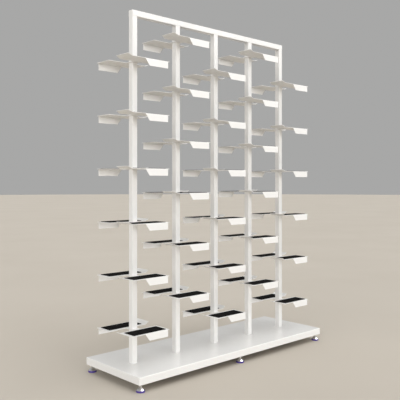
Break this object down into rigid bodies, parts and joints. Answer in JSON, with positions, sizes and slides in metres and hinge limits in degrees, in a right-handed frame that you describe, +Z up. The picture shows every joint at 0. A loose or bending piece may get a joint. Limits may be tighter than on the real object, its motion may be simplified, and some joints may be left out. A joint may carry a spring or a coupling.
{
  "type": "eyeglass display rack",
  "caption": "Floor-standing eyeglass display rack: square posts on a low plinth, each with a column of folded sheet trays with dark mats, on levelling feet.",
  "frame": {"origin": "on the floor, under the centre of the plinth", "axes": "+X along the row of posts, to the right seen from the front; +Y to the rear; +Z up"},
  "size_m": [1.2435, 0.4, 1.622],
  "materials": {
    "white_coat": "fine-textured semi-matt powder coat",
    "plinth_coat": "smooth semi-gloss powder coat",
    "zinc_plated": "zinc-plated steel",
    "black_mat": "matt, fine grain",
    "indigo_plastic": "satin moulded",
    "chrome": "bright turned"
  },
  "bodies": {
    "rack": {"base_cover": "plinth_coat", "base_rail_front": "white_coat", "base_rail_rear": "white_coat", "base_cross_members": "white_coat", "post_1": "white_coat", "post_2": "white_coat", "post_3": "white_coat", "post_4": "white_coat", "post_5": "white_coat", "top_rail": "white_coat", "rail_end_caps": "white_coat", "post_plugs": "zinc_plated", "post_bolts": "zinc_plated", "top_spigots": "zinc_plated", "top_screws": "zinc_plated", "foot_inserts": "zinc_plated", "tray_mats": "black_mat", "tray_1_1": "white_coat", "tray_1_2": "white_coat", "tray_1_3": "white_coat", "tray_1_4": "white_coat", "tray_1_5": "white_coat", "tray_1_6": "white_coat", "tray_2_1": "white_coat", "tray_2_2": "white_coat", "tray_2_3": "white_coat", "tray_2_4": "white_coat", "tray_2_5": "white_coat", "tray_2_6": "white_coat", "tray_3_1": "white_coat", "tray_3_2": "white_coat", "tray_3_3": "white_coat", "tray_3_4": "white_coat", "tray_3_5": "white_coat", "tray_3_6": "white_coat", "tray_4_1": "white_coat", "tray_4_2": "white_coat", "tray_4_3": "white_coat", "tray_4_4": "white_coat", "tray_4_5": "white_coat", "tray_4_6": "white_coat", "tray_5_1": "white_coat", "tray_5_2": "white_coat", "tray_5_3": "white_coat", "tray_5_4": "white_coat", "tray_5_5": "white_coat", "tray_5_6": "white_coat"},
    "sole_1": {"sole_1": "indigo_plastic"},
    "foot_1": {"foot_1": "chrome"},
    "sole_2": {"sole_2": "indigo_plastic"},
    "foot_2": {"foot_2": "chrome"},
    "sole_3": {"sole_3": "indigo_plastic"},
    "foot_3": {"foot_3": "chrome"},
    "sole_4": {"sole_4": "indigo_plastic"},
    "foot_4": {"foot_4": "chrome"},
    "sole_5": {"sole_5": "indigo_plastic"},
    "foot_5": {"foot_5": "chrome"},
    "sole_6": {"sole_6": "indigo_plastic"},
    "foot_6": {"foot_6": "chrome"}
  },
  "joints": [
    {"name": "foot_slide_1", "type": "slide", "parent": "rack", "child": "sole_1", "axis": [0, 0, -1], "range_m": [-0.006, 0.012]},
    {"name": "foot_turn_1", "type": "hinge", "parent": "sole_1", "child": "foot_1", "pos_m": [-0.597, -0.18, 0], "axis": [0, 0, -1], "range_deg": [-1729, 3457]},
    {"name": "foot_slide_2", "type": "slide", "parent": "rack", "child": "sole_2", "axis": [0, 0, -1], "range_m": [-0.006, 0.012]},
    {"name": "foot_turn_2", "type": "hinge", "parent": "sole_2", "child": "foot_2", "pos_m": [0, -0.18, 0], "axis": [0, 0, -1], "range_deg": [-1729, 3457]},
    {"name": "foot_slide_3", "type": "slide", "parent": "rack", "child": "sole_3", "axis": [0, 0, -1], "range_m": [-0.006, 0.012]},
    {"name": "foot_turn_3", "type": "hinge", "parent": "sole_3", "child": "foot_3", "pos_m": [0.597, -0.18, 0], "axis": [0, 0, -1], "range_deg": [-1729, 3457]},
    {"name": "foot_slide_4", "type": "slide", "parent": "rack", "child": "sole_4", "axis": [0, 0, -1], "range_m": [-0.006, 0.012]},
    {"name": "foot_turn_4", "type": "hinge", "parent": "sole_4", "child": "foot_4", "pos_m": [-0.597, 0.18, 0], "axis": [0, 0, -1], "range_deg": [-1729, 3457]},
    {"name": "foot_slide_5", "type": "slide", "parent": "rack", "child": "sole_5", "axis": [0, 0, -1], "range_m": [-0.006, 0.012]},
    {"name": "foot_turn_5", "type": "hinge", "parent": "sole_5", "child": "foot_5", "pos_m": [0, 0.18, 0], "axis": [0, 0, -1], "range_deg": [-1729, 3457]},
    {"name": "foot_slide_6", "type": "slide", "parent": "rack", "child": "sole_6", "axis": [0, 0, -1], "range_m": [-0.006, 0.012]},
    {"name": "foot_turn_6", "type": "hinge", "parent": "sole_6", "child": "foot_6", "pos_m": [0.597, 0.18, 0], "axis": [0, 0, -1], "range_deg": [-1729, 3457]}
  ],
  "couplings": [
    {"joint": "foot_turn_1", "follows": "foot_slide_1", "rad_per_m": 5026.5},
    {"joint": "foot_turn_2", "follows": "foot_slide_2", "rad_per_m": 5026.5},
    {"joint": "foot_turn_3", "follows": "foot_slide_3", "rad_per_m": 5026.5},
    {"joint": "foot_turn_4", "follows": "foot_slide_4", "rad_per_m": 5026.5},
    {"joint": "foot_turn_5", "follows": "foot_slide_5", "rad_per_m": 5026.5},
    {"joint": "foot_turn_6", "follows": "foot_slide_6", "rad_per_m": 5026.5}
  ]
}
